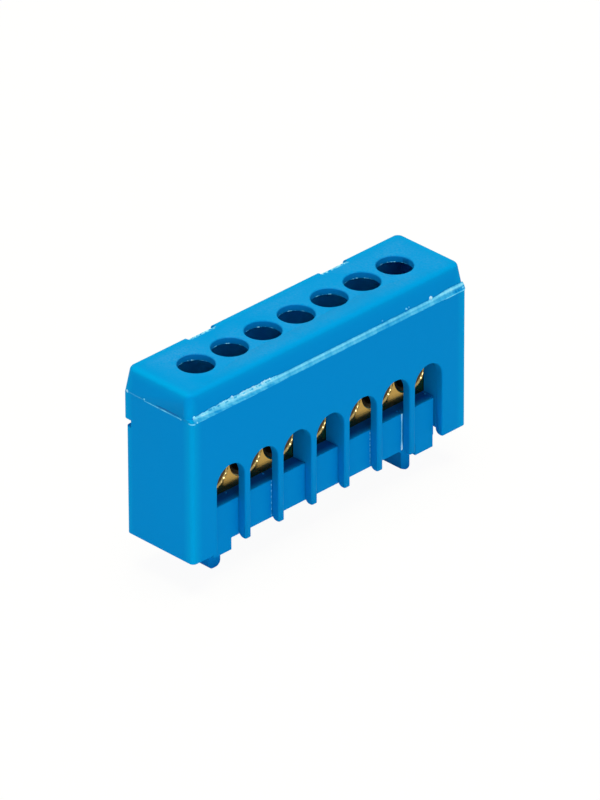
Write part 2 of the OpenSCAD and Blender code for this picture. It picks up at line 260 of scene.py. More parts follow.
class ScrewSettings(bpy.types.PropertyGroup):
    """Sizes and finish of the clamping screws."""
    shank_width: length("Shank width", "Outer diameter of the thread", 4.0)
    head_height: length("Head height", "Height of the head", 2.4)
    thread_pitch: length("Thread pitch", "Rise of the thread in one turn", 0.7)
    thread_depth: length("Thread depth", "Depth of the thread's grooves", 0.35)
    slot_width: length("Slot width", "Width of the driver slot", 1.0)
    slot_depth: length("Slot depth", "Depth of the driver slot", 1.2)
    bevel: length("Bevel", "Bevel on the screw's point and on the head's rim", 0.4)
    zinc: colour("Zinc", "Colour of the zinc plating", "#cfd3d2")
    roughness: number("Roughness", "Roughness of the zinc plating", 0.32)


class StageSettings(bpy.types.PropertyGroup):
    """Camera and light of the stage."""
    azimuth: angle("Azimuth", "Turn of the camera about the vertical", -44.829)
    elevation: angle("Elevation", "Height of the camera above the horizon", 30.093)
    roll: angle("Roll", "Tilt of the camera about its own axis", -0.190)
    distance: length("Distance", "Distance of the camera from the rail seat", 1460.8)
    right: length("Right", "How far the camera stands to the right", 0.45)
    up: length("Up", "How far the camera stands above its line to the rail seat", 10.936)
    focal_pixels: number("Focal length", "Focal length in pixels of the image", 10415.2)
    sky: number("Sky", "Strength of the even light from all round", 0.28)
    overhead: number("Overhead", "Power of the softbox above, in watts", 6.0)
    front: number("Front", "Power of the softbox in front, in watts", 1.08)
    left: number("Left", "Power of the softbox on the left, in watts", 0.7)
    card_glow: number("Card glow", "Share of the white card's look that ignores the shadow", 0.95)


class BlockSettings(bpy.types.PropertyGroup):
    """All the settings of the terminal block."""
    moulding: PointerProperty(type=MouldingSettings, name="Mouldings")
    flash: PointerProperty(type=FlashSettings, name="Flash")
    bar: PointerProperty(type=BarSettings, name="Brass bar")
    screw: PointerProperty(type=ScrewSettings, name="Clamping screws")
    stage: PointerProperty(type=StageSettings, name="Stage")


def ragged(t, seed, waves=7):
    """Smooth noise along t, about -1 to 1: a sum of sines whose waves get shorter and lower by turns."""
    rng = np.random.default_rng(seed)
    k = 1.9 ** np.arange(waves)
    phase = rng.uniform(0, 2 * np.pi, waves)
    size = 0.75 ** np.arange(waves)
    wave = np.sin(np.asarray(t)[..., None] * k + phase) * size
    return wave.sum(-1) / size.sum() * 1.6


def grid_faces(rows, columns, wrap_rows, wrap_columns):
    """Quads of a grid of rows by columns points, wrapped where a direction closes on itself."""
    i = np.arange(rows if wrap_rows else rows - 1)
    j = np.arange(columns if wrap_columns else columns - 1)
    i, j = (a.ravel() for a in np.meshgrid(i, j, indexing="ij"))
    down, along = (i + 1) % rows, (j + 1) % columns
    return np.stack([i * columns + j, i * columns + along, down * columns + along, down * columns + j], -1)


def surface(name, grids, material, body, whitening=None):
    """A piece made of point grids: each is (points as rows by columns by 3, wrap_rows, wrap_columns).
    Rows or columns that shrink to a point close as poles, because doubled points are merged.
    whitening holds one number for each point, for the flash material."""
    points, faces, start = [], [], 0
    for grid, wrap_rows, wrap_columns in grids:
        rows, columns = grid.shape[:2]
        points.append(grid.reshape(-1, 3))
        faces.append(grid_faces(rows, columns, wrap_rows, wrap_columns) + start)
        start += rows * columns
    mesh = bpy.data.meshes.new(name)
    mesh.from_pydata(np.concatenate(points).tolist(), [], np.concatenate(faces).tolist())
    if whitening is not None:
        layer = mesh.attributes.new("whitening", "FLOAT", "POINT")
        layer.data.foreach_set("value", np.concatenate([np.ravel(w) for w in whitening]).astype(np.float32))
    work = bmesh.new()
    work.from_mesh(mesh)
    bmesh.ops.remove_doubles(work, verts=work.verts, dist=0.0005 * MM)
    bmesh.ops.recalc_face_normals(work, faces=work.faces)
    work.to_mesh(mesh)
    work.free()
    return finished(name, mesh, material, body)


def flash_piece(name, parts, material):
    """A piece of flash made of closed strands or crumbs: each part is (grid, whitening of its points)."""
    grids = [(grid, False, True) for grid, _ in parts]
    return surface(name, grids, material, "block", [white for _, white in parts])


def finished(name, mesh, material, body):
    """Puts a mesh into the scene as a smooth-shaded piece that rides a body."""
    mesh.materials.clear()
    mesh.materials.append(material)
    mesh.shade_smooth()
    mesh.set_sharp_from_angle(angle=SHARP)
    piece = bpy.data.objects.new(name, mesh)
    bpy.context.scene.collection.objects.link(piece)
    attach(piece, body)
    return piece


def merged_copy(node, name, material, edge_round=0.0, soft=None):
    """Copy of a node with its doubled corners merged and its flat faces made whole. If edge_round is set,
    edges are rounded: all sharp ones, or those that soft picks from the ends of all edges, which it gets
    as an array of edges by 2 by 3."""
    mesh = frame["nodes"][node].data.copy()
    work = bmesh.new()
    work.from_mesh(mesh)
    bmesh.ops.remove_doubles(work, verts=work.verts, dist=0.001 * MM)
    bmesh.ops.dissolve_limit(work, angle_limit=math.radians(0.5), verts=work.verts, edges=work.edges)
    work.to_mesh(mesh)
    work.free()
    mesh.name = name
    piece = finished(name, mesh, material, frame["nodes"][node]["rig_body"])
    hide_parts(node)
    if edge_round:
        bevel = piece.modifiers.new("soft edges", "BEVEL")
        bevel.width = edge_round
        bevel.segments = 2
        bevel.limit_method = "WEIGHT" if soft else "ANGLE"
        bevel.angle_limit = SHARP
        bevel.use_clamp_overlap = True
        bevel.harden_normals = True
    if soft:
        layer = mesh.attributes.new("bevel_weight_edge", "FLOAT", "EDGE")
        ends = points_of(mesh)[read(mesh.edges, "vertices", 2, np.int32)]
        layer.data.foreach_set("value", soft(ends).astype(np.float32))
    return piece


def read(items, field, size, kind=np.float32):
    """One field of all items of a mesh, as an array of items by size."""
    values = np.empty(len(items) * size, kind)
    items.foreach_get(field, values)
    return values.reshape(-1, size)


def points_of(mesh):
    """All points of a mesh, as an array of points by 3."""
    return read(mesh.vertices, "co", 3)


def strand(path, side, up, half_width, half_height):
    """Tube along a path of n points: round each point an ellipse whose half axes lie along side and up,
    with lengths for each point or one for all. The first and last shrink to points and close the ends."""
    turn = np.linspace(0, 2 * np.pi, STRAND_SIDES, endpoint=False)[None, :, None]
    open_ends = np.ones((len(path), 1))
    open_ends[[0, -1]] = 0
    across = np.broadcast_to(side, path.shape) * np.reshape(half_width, (-1, 1)) * open_ends
    rise = np.broadcast_to(up, path.shape) * np.reshape(half_height, (-1, 1)) * open_ends
    return path[:, None] + np.cos(turn) * across[:, None] + np.sin(turn) * rise[:, None]


def crumb(centre, radius, seed):
    """Crumb: a sphere by rise and turn, its radius swollen and dented by three waves round it."""
    rng = np.random.default_rng(seed)
    rise = np.linspace(-np.pi / 2, np.pi / 2, CRUMB_RISE)[:, None]
    turn = np.linspace(0, 2 * np.pi, CRUMB_ROUND, endpoint=False)[None, :]
    phase = rng.uniform(0, 2 * np.pi, 3)
    waves = sum(np.cos(k * turn + p) for k, p in zip((2, 3, 5), phase))
    size = radius * (1 + 0.13 * waves * np.cos(rise))
    shape = np.stack([np.cos(rise) * np.cos(turn), np.cos(rise) * np.sin(turn),
                      np.sin(rise) + 0 * turn], -1)
    return np.asarray(centre) + shape * size[..., None]


def front_path(settings, t):
    """Points (y, z) and outward directions (y, z) on the lid's front at t up from the seam, measured along
    the surface: the straight slope of the ledge, then the leaning front. The direction swings round
    smoothly where the two meet."""
    slope = math.hypot(settings.ledge_depth, settings.ledge_height)
    lean = settings.lid_lean / (LID_HIGH.z - SEAM_Z)
    on_ledge = np.clip(t / slope, 0, 1)
    above = np.maximum(t - slope, 0)
    y = FRONT_Y + settings.ledge_depth * on_ledge + lean * above
    z = SEAM_Z + settings.ledge_height * on_ledge + above
    swing = np.clip((t - slope) / slope + 0.5, 0, 1)
    out_y = -settings.ledge_height / slope * (1 - swing) - swing
    out_z = settings.ledge_depth / slope * (1 - swing) + lean * swing
    return y, z, out_y, out_z


def end_wall(settings, rise):
    """Place along X of the lid's left end, which leans, at a height above the seam."""
    return settings.lid_lean * rise / (LID_HIGH.z - SEAM_Z) - END_X


def step(t, low, high):
    """0 below low, 1 above high, and a smooth rise between."""
    s = np.clip((t - low) / (high - low), 0, 1)
    return s * s * (3 - 2 * s)


def ridge(t, centre, width):
    """Bell curve of height 1."""
    return np.exp(-((t - centre) / width) ** 2)


def add_node(tree, kind, fields=None, inputs=None):
    """Adds a node: fields sets its own settings, and inputs sets or links its sockets."""
    node = tree.nodes.new(kind)
    for key, value in (fields or {}).items():
        setattr(node, key, value)
    for key, value in (inputs or {}).items():
        if isinstance(value, bpy.types.NodeSocket):
            tree.links.new(value, node.inputs[key])
        else:
            node.inputs[key].default_value = value
    return node


def new_material(name):
    """An empty node material: (material, its tree, its output node)."""
    material = bpy.data.materials.new(name)
    material.use_nodes = True
    tree = material.node_tree
    tree.nodes.clear()
    return material, tree, add_node(tree, "ShaderNodeOutputMaterial")


def as_material(fill):
    """Decorator for a function that gives a material's looks, as the inputs of its shader: it becomes one
    that hands out the material of the function's name, made on the first call."""
    def material_of(*settings):
        found = bpy.data.materials.get(fill.__name__)
        if found:
            return found
        material, tree, out = new_material(fill.__name__)
        shader = add_node(tree, "ShaderNodeBsdfPrincipled", None, fill(tree, *settings))
        tree.links.new(shader.outputs["BSDF"], out.inputs["Surface"])
        return material
    return material_of


def patch(tree, *ramps, most=1.0):
    """Socket that marks a patch: most, times a ramp for each (value, low, high) in ramps, which rises from
    0 to 1 as the value goes from low to high."""
    share = most
    for value, low, high in ramps:
        ramp = add_node(tree, "ShaderNodeMapRange", None,
                        {"Value": value, "From Min": low, "From Max": high})
        product = add_node(tree, "ShaderNodeMath", {"operation": "MULTIPLY"},
                           {0: share, 1: ramp.outputs["Result"]})
        share = product.outputs["Value"]
    return share


def edges(tree, off_x, off_y, z):
    """Socket of the painted edge highlight: it rises to 1 at the outer edges, where two of the box's faces
    are near. It falls off more steeply, by the square, from the lid's top edges than from the upright ones."""
    reach, inset, top_inset = 1.6 * MM, 0.3 * MM, 0.2 * MM
    end = (off_x, END_X - inset - reach, END_X - inset)
    side = (off_y, BACK_Y - inset - reach, BACK_Y - inset)
    top = (z, LID_HIGH.z - top_inset - reach, LID_HIGH.z - top_inset)
    share = 0.0
    for ramps in ((end, side), (end, top, end, top), (side, top, side, top)):
        larger = add_node(tree, "ShaderNodeMath", {"operation": "MAXIMUM"},
                          {0: share, 1: patch(tree, *ramps)})
        share = larger.outputs["Value"]
    return share


def fringe(tree, on_top, off_x, y, grain):
    """Socket that is patchily 1 along the front edges of the two label channels in the lid's top."""
    inner, outer, fade = CHANNEL_X - CHANNEL_WIDTH / 2, CHANNEL_X + CHANNEL_WIDTH / 2, 0.2 * MM
    return patch(tree, on_top, (off_x, inner, inner + fade), (off_x, outer, outer - fade),
                 (y, CHANNEL_FLOOR - 0.45 * MM, CHANNEL_FLOOR - 0.15 * MM), (grain, 0.42, 0.6))


def dust(tree, on_top, off_x, off_y, drift, grain, most):
    """Socket of the painted sheen: it rises to most on the lid's top, away from its edges, in drifts."""
    return patch(tree, on_top, (off_x, END_X - 0.8 * MM, END_X - 2.8 * MM),
                 (off_y, BACK_Y - 1.1 * MM, BACK_Y - 2.5 * MM), (drift, 0.25, 0.75), (grain, 0.3, 0.7),
                 most=most)


def oil_film(tree, off_x, y, z):
    """Socket of the painted shade on the base's deck: 1 on the deck, falling to 0 at its front edge."""
    thin = 0.1 * MM
    return patch(tree, (z, DECK_Z - thin, DECK_Z), (z, DECK_Z + thin, DECK_Z),
                 (off_x, BASE_HIGH.x + 2 * MM, BASE_HIGH.x), (y, BASE_HIGH.y + thin, BASE_HIGH.y),
                 (y, BASE_LOW.y, BASE_LOW.y + 1.2 * MM))


@as_material
def moulded_polyamide_blue(tree, settings):
    """Blue polyamide from a textured mould: satin, even in colour, hardly any shine at the front. Its
    rounded outer edges are painted a lighter blue, a painted highlight for the light they let through; the
    lid's top is whitened in a faint mottle, a painted sheen; and the deck behind the slots is painted a
    darker blue, a painted shade. Flash whitens the edges of the label channels."""
    place = add_node(tree, "ShaderNodeTexCoord").outputs["Object"]
    axes = add_node(tree, "ShaderNodeSeparateXYZ", None, {"Vector": place}).outputs
    off_middle = add_node(tree, "ShaderNodeVectorMath", {"operation": "ABSOLUTE"}, {0: place})
    off = add_node(tree, "ShaderNodeSeparateXYZ", None, {"Vector": off_middle.outputs["Vector"]}).outputs
    off_x, off_y, y, z = off["X"], off["Y"], axes["Y"], axes["Z"]
    # The mould's own texture is too fine to show, so the grain is drawn as coarse as it needs
    grain = add_node(tree, "ShaderNodeTexNoise", None,
                     {"Vector": place, "Scale": 1 / settings.mottle, "Detail": 3.0}).outputs["Fac"]
    drift = add_node(tree, "ShaderNodeTexNoise", None,
                     {"Vector": place, "Scale": 1 / settings.drift, "Detail": 1.0}).outputs["Fac"]
    on_top = (z, LID_HIGH.z - 0.3 * MM, LID_HIGH.z)
    coats = (
        # Painted highlight on the outer edges
        (edges(tree, off_x, off_y, z), settings.glow),
        # Painted sheen on the lid's top
        (dust(tree, on_top, off_x, off_y, drift, grain, 4 * settings.dust), linear("#ffffff")),
        # Painted shade on the deck behind the slots
        (oil_film(tree, off_x, y, z), settings.film),
        (fringe(tree, on_top, off_x, y, grain), settings.fringe),
    )
    shade = settings.plastic
    for share, coat in coats:
        # A Mix node's colours are its inputs 6 and 7 and its output 2
        mix = add_node(tree, "ShaderNodeMix", {"data_type": "RGBA"}, {0: share, 6: shade, 7: coat})
        shade = mix.outputs[2]
    bump = add_node(tree, "ShaderNodeBump", None,
                    {"Height": grain, "Strength": 0.15, "Distance": 0.02 * MM})
    return {"Base Color": shade, "Roughness": settings.roughness, "IOR": POLYAMIDE_IOR,
            "Specular IOR Level": settings.shine, "Normal": bump.outputs["Normal"]}


@as_material
def stretched_polyamide_flash(tree, settings, plastic):
    """Thin flash of the same polyamide, stretched and torn: blue where it is thick, paler where it is drawn
    out and white where it tore. At whitening 0 it takes the shade colour, a painted shade. The attribute
    whitening says where."""
    tear = add_node(tree, "ShaderNodeAttribute", {"attribute_name": "whitening"})
    ramp = add_node(tree, "ShaderNodeValToRGB", None, {"Fac": tear.outputs["Fac"]})
    for position, shade in ((0.06, plastic), (0.3, settings.pale), (0.62, settings.bright)):
        ramp.color_ramp.elements.new(position).color = shade
    # Painted shade: whitening 0 takes the colour of the shade in the groove
    ramp.color_ramp.elements[0].color = settings.dark
    ramp.color_ramp.elements[-1].color = settings.torn
    return {"Base Color": ramp.outputs["Color"], "Roughness": settings.roughness, "IOR": POLYAMIDE_IOR,
            "Specular IOR Level": settings.shine}


@as_material
def drawn_brass(tree, settings):
    """Extruded and drawn brass: a warm metal with fine lines along the bar."""
    place = add_node(tree, "ShaderNodeTexCoord").outputs["Object"]
    drawn = add_node(tree, "ShaderNodeMapping", None, {"Vector": place, "Scale": (0.08, 1.0, 1.0)})
    # Real draw lines are too fine to show, so these are drawn as coarse as they need
    lines = add_node(tree, "ShaderNodeTexNoise", None,
                     {"Vector": drawn.outputs["Vector"], "Scale": 1 / settings.draw_line, "Detail": 3.0})
    bump = add_node(tree, "ShaderNodeBump", None,
                    {"Height": lines.outputs["Fac"], "Strength": 0.25, "Distance": 0.02 * MM})
    return {"Base Color": settings.brass, "Metallic": 1.0, "Roughness": settings.roughness,
            "Normal": bump.outputs["Normal"]}


@as_material
def drilled_brass(tree, settings):
    """Brass as the drill left it, dull, and painted darker: a painted shade for the inside of the wire
    holes.
    """
    return {"Base Color": settings.bore, "Metallic": 1.0, "Roughness": settings.bore_roughness}


@as_material
def countersunk_brass(tree, settings):
    """Brass as the countersink left it: smoother than the drawn faces, so it glints. Its darker colour is a
    painted shade for the dim slot that it reflects.
    """
    return {"Base Color": settings.cut, "Metallic": 1.0, "Roughness": settings.cut_roughness}


@as_material
def zinc_plated_steel(tree, settings):
    """Bright zinc plating on steel: a pale, slightly milky metal."""
    return {"Base Color": settings.zinc, "Metallic": 1.0, "Roughness": settings.roughness}


class BLOCK_OT_mouldings(bpy.types.Operator):
    """Makes the casing, the lid and the base"""
    bl_idname = "block.mouldings"
    bl_label = "Casing, lid and base"

    def execute(self, context):
        settings = context.scene.terminal_block.moulding
        material = moulded_polyamide_blue(settings)
        merged_copy("casing", "casing_moulding", material,
                    settings.edge_round, self.slot_edges)
        merged_copy("lid", "lid_moulding", material)
        merged_copy("base", "base_moulding", material,
                    settings.sill_round, self.sill_edges)
        return {"FINISHED"}

    def slot_edges(self, ends):
        """Which edges lie on the outlines of the wire slots in the casing's front."""
        on_front = np.abs(ends[..., 1] - FRONT_Y).max(1) < 0.01 * MM
        inside = np.abs(ends[..., 0]).max(1) < END_X - 1.5 * MM
        upright = (ends[..., 2].mean(1) > 0.8 * MM) & (ends[..., 2].max(1) < SEAM_Z - 2 * MM)
        return on_front & inside & upright

    def sill_edges(self, ends):
        """Which edges lie along the top of the base's front."""
        on_front = np.abs(ends[..., 1] - BASE_LOW.y).max(1) < 0.01 * MM
        return on_front & (np.abs(ends[..., 2] - DECK_Z).max(1) < 0.01 * MM)


class BLOCK_OT_brass_bar(bpy.types.Operator):
    """Makes the brass bar"""
    bl_idname = "block.brass_bar"
    bl_label = "Brass bar"

    def execute(self, context):
        settings = context.scene.terminal_block.bar
        piece = merged_copy("brass_bar", "drilled_bar", drawn_brass(settings), settings.edge_round)
        mesh = piece.data
        # The wire holes' walls and countersinks take drilled_brass, whose darkened colour is a painted
        # shade
        mesh.materials.append(drilled_brass(settings))
        corners = read(mesh.loops, "vertex_index", 1, np.int32).ravel()
        starts = read(mesh.polygons, "loop_start", 1, np.int32).ravel()
        drilled = np.logical_and.reduceat(self.in_hole(settings, points_of(mesh))[corners], starts)
        drilled &= np.abs(read(mesh.polygons, "normal", 3)[:, 1]) < 0.95
        mesh.polygons.foreach_set("material_index", drilled.astype(np.int32))
        return {"FINISHED"}

    def in_hole(self, settings, points):
        """Which points lie on the wall or the countersink of a wire hole."""
        reach = np.hypot(points[:, :1] - np.array(SCREW_X), points[:, 2:] - WIRE_Z).min(1)
        return (reach > WIRE_R - 0.02 * MM) & (reach < WIRE_R + settings.sink_width + 0.02 * MM)


class BLOCK_OT_countersinks(bpy.types.Operator):
    """Makes the countersinks of the wire holes, with the waves that a chattering cutter left"""
    bl_idname = "block.countersinks"
    bl_label = "Countersinks"

    def execute(self, context):
        settings = context.scene.terminal_block.bar
        grids = [(self.ring(settings, x, y, into), True, True)
                 for x in SCREW_X for y, into in ((BAR_LOW.y, 1), (BAR_HIGH.y, -1))]
        surface("countersinks", grids, countersunk_brass(settings), "block")
        return {"FINISHED"}

    def ring(self, settings, x, y, into):
        """Bright outer part of a countersink: a shallow dome on the cone, heaved into waves round the hole,
        and two rows rooted in the bar behind it, carried round the wire's axis."""
        waves = round(settings.chatter_waves)
        turn = np.linspace(0, 2 * np.pi, WAVE_POINTS * waves, endpoint=False)[None, :]
        across = np.array(RING_SEEN + RING_ROOT)[:, None]
        seen = np.arange(across.size)[:, None] < len(RING_SEEN)
        share = settings.bright_share * across
        wave = np.sin(waves * turn) * (0.55 + 0.45 * np.cos(turn))
        lift = settings.chatter * np.sin(np.pi * across) * (0.6 + 0.4 * wave)
        lift = np.where(seen, lift, -0.1 * settings.sink_width)
        slant = math.hypot(settings.sink_width, settings.sink_depth)
        radius = WIRE_R + settings.sink_width * (1 - share) - lift * settings.sink_depth / slant
        depth = settings.sink_depth * share - lift * settings.sink_width / slant
        return np.stack([x + radius * np.cos(turn), y + into * np.maximum(depth, 0),
                         WIRE_Z + radius * np.sin(turn)], -1)


class BLOCK_OT_screws(bpy.types.Operator):
    """Makes the clamping screws"""
    bl_idname = "block.screws"
    bl_label = "Clamping screws"

    def execute(self, context):
        settings = context.scene.terminal_block.screw
        material = zinc_plated_steel(settings)
        for node in SCREWS:
            low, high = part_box(node)
            x = (low.x + high.x) / 2
            under = high.z - settings.head_height
            head = self.head(settings, x, (high.x - low.x) / 2, under, high.z)
            shank = self.shank(settings, x, low.z, under)
            piece = surface(node + "_turned", [(head, True, False), (shank, False, True)], material,
                            frame["nodes"][node]["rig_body"])
            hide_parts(node)
        return {"FINISHED"}

    def head(self, settings, x, radius, bottom, top):
        """Slotted head: at each place along the slot the section across it is a U with bevelled arms that
        end on the circle. The sections run from one mouth of the slot to the other and close in poles."""
        half = settings.slot_width / 2
        reach = math.sqrt(radius ** 2 - half ** 2)
        along = -reach * np.cos(np.linspace(0, np.pi, HEAD_SECTIONS))
        chord = np.sqrt(np.maximum(radius ** 2 - along ** 2, half ** 2))
        floor = np.full_like(along, top - settings.slot_depth)
        tip = np.full_like(along, top)
        tip[[0, -1]] = floor[0]
        bevel = np.minimum(settings.bevel, 0.7 * (chord - half))
        half, bottom = np.full_like(along, half), np.full_like(along, bottom)
        y = np.stack([-chord, -chord, bevel - chord, -half, -half, half, half, chord - bevel, chord, chord])
        z = np.stack([bottom, tip - bevel, tip, tip, floor, floor, tip, tip, tip - bevel, bottom])
        grid = np.stack([x + along + 0 * y, y, z], -1)
        poles = grid[:, [0, -1]].copy()
        poles[:, :, 1] = 0
        poles[:, :, 2] = (bottom[0] + floor[0]) / 2
        return np.concatenate([poles[:, :1], grid, poles[:, 1:]], 1)

    def shank(self, settings, x, bottom, top):
        """Threaded shank: its radius falls by a triangle wave whose phase climbs one pitch each turn, and
        its point is bevelled. Both ends close in poles."""
        z = np.linspace(bottom, top, SHANK_ROWS)[:, None]
        turn = np.linspace(0, 2 * np.pi, SHANK_SIDES, endpoint=False)[None, :]
        phase = ((z - bottom) / settings.thread_pitch - turn / (2 * np.pi)) % 1
        plain = settings.shank_width / 2
        radius = plain - settings.thread_depth * np.abs(2 * phase - 1)
        radius = np.minimum(radius, plain - settings.bevel + (z - bottom))
        radius = np.concatenate([0 * radius[:1], radius, 0 * radius[-1:]])
        z = np.concatenate([z[:1], z, z[-1:]])
        return np.stack([x + radius * np.cos(turn), radius * np.sin(turn), z + 0 * turn], -1)


class BLOCK_OT_seam_flash(bpy.types.Operator):
    """Makes the flash along the lid's front, and the line of it round the ends and the back"""
    bl_idname = "block.seam_flash"
    bl_label = "Seam flash"

    def execute(self, context):
        block = context.scene.terminal_block
        material = stretched_polyamide_flash(block.flash, block.moulding.plastic)
        grid, white = self.bead(block.flash)
        surface("front_flash", [(grid, True, False)], material, "block", [white])
        lines = [self.line(block.flash, *ends) for ends in self.line_ends(block.flash)]
        lines += [self.corner(block.flash, left) for left in (True, False)]
        # Painted shadow: a strand in the shade colour above the line on the left end
        lines.append(self.tear(block.flash))
        flash_piece("seam_line", lines, material)
        return {"FINISHED"}

    def whitening(self, x, t):
        """How white the front's flash is, at x along the seam and t up from it, both in millimetres: scaly
        with a row of tears at the left, a double line in the middle that thins out in one place, and two
        lines that part at the right."""
        scaly = 1 - step(x, *SCALY_TO_PLAIN)
        streaks = 0.09 * ragged(1.3 * x + 2 * t, 3, 4) + 0.07 * ragged(9 * t + 0.7 * x, 4, 3)
        tears = ridge(t, 0.98, 0.1) * step(ragged(4 * x, 9, 3), 0.0, 0.5) * step(x, -25, -22)
        left = 0.26 + (0.32 + 0.16 * step(x, -21, -17)) * step(t, 0.3, 0.8) + streaks - 0.5 * tears
        upper, lower = ridge(t, 0.8, 0.2), ridge(t, 0.28, 0.14)
        thin = ridge(x, *THIN_ABOUT) * (1 - step(t, 0.5, 0.8))
        middle = 0.26 + (0.34 - 0.12 * ridge(x, 14, 6)) * upper + 0.12 * lower - 0.14 * thin
        parted = step(x, PARTED_FROM, PARTED_FROM + 2.5)
        last = step(x, PARTED_FROM + 3, PARTED_FROM + 5)
        upper, lower = ridge(t, 1.0, 0.28), ridge(t, 0.04, 0.09)
        right = 0.25 - 0.15 * last + (0.45 + 0.15 * last) * upper + (0.36 + 0.15 * last) * lower
        plain = middle * (1 - scaly) * (1 - parted) + left * scaly + right * parted
        return np.clip(plain + 0.08 * ragged(1.7 * x, 5, 4), 0, 1)

    def bead(self, settings):
        """Bead on the ledge and the foot of the lid's front: across it, rows from its lower to its upper
        edge lie off the surface by a thickness that grows with the whitening, and more rows root it.
        Both edges wander, and the ends close in points."""
        x = np.linspace(-END_X + 0.65 * MM, END_X - 0.1 * MM, BEAD_COLUMNS)[None, :]
        along = x / MM
        scaly = 1 - step(along, *SCALY_TO_PLAIN)
        parted = step(along, PARTED_FROM, PARTED_FROM + 5)
        close = np.clip(np.minimum(x - x[0, 0], x[0, -1] - x) / (0.3 * MM), 0, 1) ** 0.5
        low = (0.1 - 0.08 * np.maximum(parted, scaly) + 0.03 * ragged(1.1 * along, 1, 4)) * MM
        low = np.maximum(low, 0)
        wander = (0.03 + 0.06 * scaly) * ragged(1.6 * along, 2, 5)
        swell = 0.2 * scaly * step(along, -24.5, -21)
        high = settings.reach + (swell + 0.27 * parted - 0.08 + wander) * MM
        across = np.concatenate([np.linspace(0, 1, BEAD_ROWS), BEAD_ROOT])[:, None]
        seen = np.arange(across.size)[:, None] < BEAD_ROWS
        t = (low + high) / 2 + (across - 0.5) * (high - low) * close
        white = self.whitening(along, t / MM) * seen
        fill = 0.9 * ridge(t / MM, 0.78, 0.2)
        thick = settings.bead * (0.25 + white + fill) * np.sin(np.pi * across) ** 0.5
        lift = np.where(seen, thick, -settings.sink) * close
        y, z, out_y, out_z = front_path(settings, t)
        return np.stack([x + 0 * y, np.maximum(y + out_y * lift, FRONT_Y), z + out_z * lift], -1), white

    def tear(self, settings):
        """Painted shadow above the line on the left end, widest at its middle: a strand at whitening 0,
        which takes the shade colour, for the shade in the groove there.
        """
        y = np.linspace(0.4, -4.4, TEAR_POINTS) * MM
        z = SEAM_Z + settings.line_rise + 0.28 * MM
        path = np.stack([np.full_like(y, end_wall(settings, z - SEAM_Z)), y, np.full_like(y, z)], -1)
        width = 0.14 * MM * np.sin(np.linspace(0, np.pi, y.size)) ** 0.5
        grid = strand(path, UP, np.array([1.0, 0, 0]), width, 0.03 * MM)
        return grid, np.zeros(y.size * STRAND_SIDES)

    def corner(self, settings, left):
        """Flat strand in the seam's groove round the front corner at one end: straight from the end's line,
        then round the corner, where it stands out a little, and sinking towards the seam all the way."""
        before, around = 20, 40
        lead = np.linspace(settings.strip_end, 0, before, endpoint=False)
        lead = np.concatenate([lead, np.zeros(around)])
        turn = np.concatenate([np.zeros(before), np.linspace(0, np.pi / 2, around)])
        corner = settings.corner_round
        radius = corner - 0.03 * MM + 0.07 * MM * np.sin(2 * turn)
        x = END_X - corner + radius * np.cos(turn)
        y = FRONT_Y + corner + lead - radius * np.sin(turn)
        z = SEAM_Z + np.linspace(settings.line_rise, 0.05 * MM, before + around)
        hand = -1 if left else 1
        path = np.stack([hand * x, y, z], -1)
        out = np.stack([hand * np.cos(turn), -np.sin(turn), 0 * turn], -1)
        grid = strand(path, UP, out, 1.4 * settings.line, 0.04 * MM)
        grid = np.clip(grid, [-END_X, FRONT_Y, 0], [END_X, BACK_Y, LID_HIGH.z])
        return grid, np.repeat(0.42 + 0.12 * np.sin(turn), STRAND_SIDES)

    def line_ends(self, settings):
        """Start, end, outward direction and whitening of the line on the left end, where it jumps at a
        break, on the right end and on the back."""
        rise = settings.line_rise
        x = -end_wall(settings, rise)
        back = x - END_X + BACK_Y
        round_off = settings.corner_round
        front = FRONT_Y + round_off + settings.strip_end
        z = SEAM_Z + rise
        gap_y = 2.6 * MM
        return (
            ((-x, gap_y, z), (-x, front, z), (-1, 0, 0), 0.45),
            ((-x, back - round_off, z + 0.2 * MM), (-x, gap_y, z + 0.12 * MM), (-1, 0, 0), 0.22),
            ((x, front, z), (x, back - round_off, z), (1, 0, 0), 0.3),
            ((x - round_off, back, z), (round_off - x, back, z), (0, 1, 0), 0.3),
        )

    def line(self, settings, start, end, out, white):
        """Flat strand along the seam whose width and whitening wander."""
        s = np.linspace(0, 1, LINE_POINTS)[:, None]
        path = np.asarray(start) * (1 - s) + np.asarray(end) * s
        along = np.linalg.norm(path - path[0], axis=1) / MM
        width = settings.line * (0.9 + 0.35 * ragged(2.5 * along, 6))
        grid = strand(path, UP, np.asarray(out, float), np.maximum(width, 0.01 * MM), 0.02 * MM)
        shade = np.clip(white * (1 + 0.35 * ragged(1.1 * along, 7)), 0.08, 1)
        return grid, np.repeat(shade, STRAND_SIDES)


